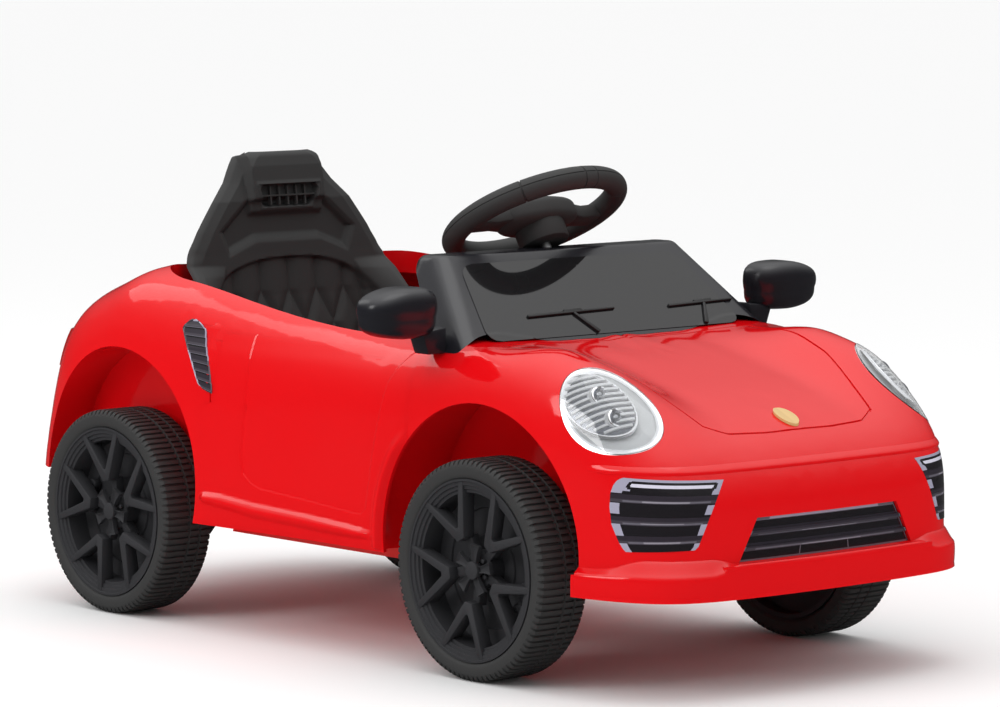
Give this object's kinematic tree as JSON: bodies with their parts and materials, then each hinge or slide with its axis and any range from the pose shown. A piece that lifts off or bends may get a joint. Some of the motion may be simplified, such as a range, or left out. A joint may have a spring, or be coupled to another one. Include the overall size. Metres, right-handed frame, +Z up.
{
  "type": "electric ride on car",
  "caption": "Child's electric ride-on car: red moulded body on a chassis tub, black seat and windscreen cowl, steered front wheels and motor-driven rear wheels.",
  "frame": {"origin": "on the floor, midway between nose and tail on the car's middle line", "axes": "+X forward, +Y to the car's left, +Z up"},
  "size_m": [1.1146, 0.64, 0.5216],
  "materials": {
    "red_body": "glossy moulded red plastic",
    "black_gloss": "glossy black plastic",
    "black_satin": "satin black moulded plastic",
    "wheel_black": "satin black wheel plastic",
    "tyre_black": "matt black tyre plastic",
    "lamp_white": "white and bright lamp housing",
    "lamp_lens": "clear plastic lens",
    "tail_red": "red lamp lens",
    "sticker_dark": "printed dark panel",
    "badge_gold": "plain gold-coloured plate",
    "mirror_glass": "mirror",
    "steel": "zinc-plated steel",
    "drive_black": "gearbox plastic",
    "motor_metal": "motor can",
    "battery_case": "battery case",
    "button_grey": "grey button",
    "switch_black": "rocker switch"
  },
  "bodies": {
    "car": {"axle_nuts_rear": "steel", "battery": "battery_case", "body_shell": "red_body", "bonnet_badge": "badge_gold", "charge_socket": "black_satin", "chassis_tub": "red_body", "control_box": "drive_black", "dashboard_panel": "black_satin", "drive_motor_left": "motor_metal", "drive_motor_right": "motor_metal", "fog_panel_left": "sticker_dark", "fog_panel_right": "sticker_dark", "gearbox_left": "drive_black", "gearbox_right": "drive_black", "headlamp_bulbs": "lamp_white", "headlamp_housing_left": "lamp_white", "headlamp_housing_right": "lamp_white", "headlamp_lens_left": "lamp_lens", "headlamp_lens_right": "lamp_lens", "kingpin_brackets": "drive_black", "lower_grille": "sticker_dark", "mirror_glasses": "mirror_glass", "mirror_housing_left": "black_gloss", "mirror_housing_right": "black_gloss", "pedal_base": "black_satin", "pedal_pin": "steel", "rear_axle": "steel", "seat": "black_satin", "side_vent_left": "black_satin", "side_vent_right": "black_satin", "tail_lamp_left": "tail_red", "tail_lamp_right": "tail_red", "windscreen_cowl": "black_gloss"},
    "steering": {"steering_wheel": "black_satin", "steering_column": "steel"},
    "horn": {"horn_button": "button_grey"},
    "music": {"music_button": "button_grey"},
    "knuckle_left": {"steering_knuckle_left": "steel", "axle_nut_front_left": "steel"},
    "knuckle_right": {"steering_knuckle_right": "steel", "axle_nut_front_right": "steel"},
    "tie": {"tie_rod": "steel"},
    "pedal": {"accelerator_pedal": "black_satin"},
    "power_rocker": {"power_switch": "switch_black"},
    "direction_rocker": {"direction_switch": "switch_black"},
    "wheel_front_left": {"tyre_front_left": "tyre_black", "wheel_front_left": "wheel_black", "hub_cap_front_left": "wheel_black"},
    "wheel_front_right": {"tyre_front_right": "tyre_black", "wheel_front_right": "wheel_black", "hub_cap_front_right": "wheel_black"},
    "wheel_rear_left": {"tyre_rear_left": "tyre_black", "wheel_rear_left": "wheel_black", "hub_cap_rear_left": "wheel_black", "drive_coupler_left": "drive_black"},
    "wheel_rear_right": {"tyre_rear_right": "tyre_black", "wheel_rear_right": "wheel_black", "hub_cap_rear_right": "wheel_black", "drive_coupler_right": "drive_black"}
  },
  "joints": [
    {"name": "steering_turn", "type": "hinge", "parent": "car", "child": "steering", "pos_m": [0.089, 0, 0.4635], "axis": [-0.4848, 0, 0.8746], "range_deg": [-30, 30]},
    {"name": "tie_rod_slide", "type": "slide", "parent": "car", "child": "tie", "axis": [0, 1, 0], "range_m": [-0.0141, 0.0141]},
    {"name": "horn_press", "type": "slide", "parent": "steering", "child": "horn", "axis": [0.4848, 0, -0.8746], "range_m": [0, 0.002], "stiffness_N_per_m": 400},
    {"name": "music_press", "type": "slide", "parent": "steering", "child": "music", "axis": [0.4848, 0, -0.8746], "range_m": [0, 0.002], "stiffness_N_per_m": 400},
    {"name": "pedal_press", "type": "hinge", "parent": "car", "child": "pedal", "pos_m": [0.07, -0.062, 0.12], "axis": [0, 1, 0], "range_deg": [0, 12], "stiffness_Nm_per_rad": 1.2},
    {"name": "knuckle_left_steer", "type": "hinge", "parent": "car", "child": "knuckle_left", "pos_m": [0.279, 0.169, 0.116], "axis": [0, 0, 1], "range_deg": [-18.2, 18.2]},
    {"name": "front_left_spin", "type": "hinge", "parent": "knuckle_left", "child": "wheel_front_left", "pos_m": [0.279, 0.229, 0.116], "axis": [0, 1, 0], "continuous": true},
    {"name": "rear_left_spin", "type": "hinge", "parent": "car", "child": "wheel_rear_left", "pos_m": [-0.35, 0.229, 0.116], "axis": [0, 1, 0], "continuous": true},
    {"name": "knuckle_right_steer", "type": "hinge", "parent": "car", "child": "knuckle_right", "pos_m": [0.279, -0.169, 0.116], "axis": [0, 0, 1], "range_deg": [-18.2, 18.2]},
    {"name": "front_right_spin", "type": "hinge", "parent": "knuckle_right", "child": "wheel_front_right", "pos_m": [0.279, -0.229, 0.116], "axis": [0, 1, 0], "continuous": true},
    {"name": "rear_right_spin", "type": "hinge", "parent": "car", "child": "wheel_rear_right", "pos_m": [-0.35, -0.229, 0.116], "axis": [0, 1, 0], "continuous": true},
    {"name": "power_rock", "type": "hinge", "parent": "car", "child": "power_rocker", "pos_m": [0.058, 0.062, 0.318], "axis": [0, 1, 0], "range_deg": [-8, 8]},
    {"name": "direction_rock", "type": "hinge", "parent": "car", "child": "direction_rocker", "pos_m": [0.058, -0.062, 0.318], "axis": [0, 1, 0], "range_deg": [-8, 8]}
  ],
  "couplings": [
    {"joint": "knuckle_left_steer", "follows": "steering_turn", "ratio": 0.6},
    {"joint": "knuckle_right_steer", "follows": "steering_turn", "ratio": 0.6},
    {"joint": "tie_rod_slide", "follows": "steering_turn", "m_per_rad": -0.026643}
  ]
}
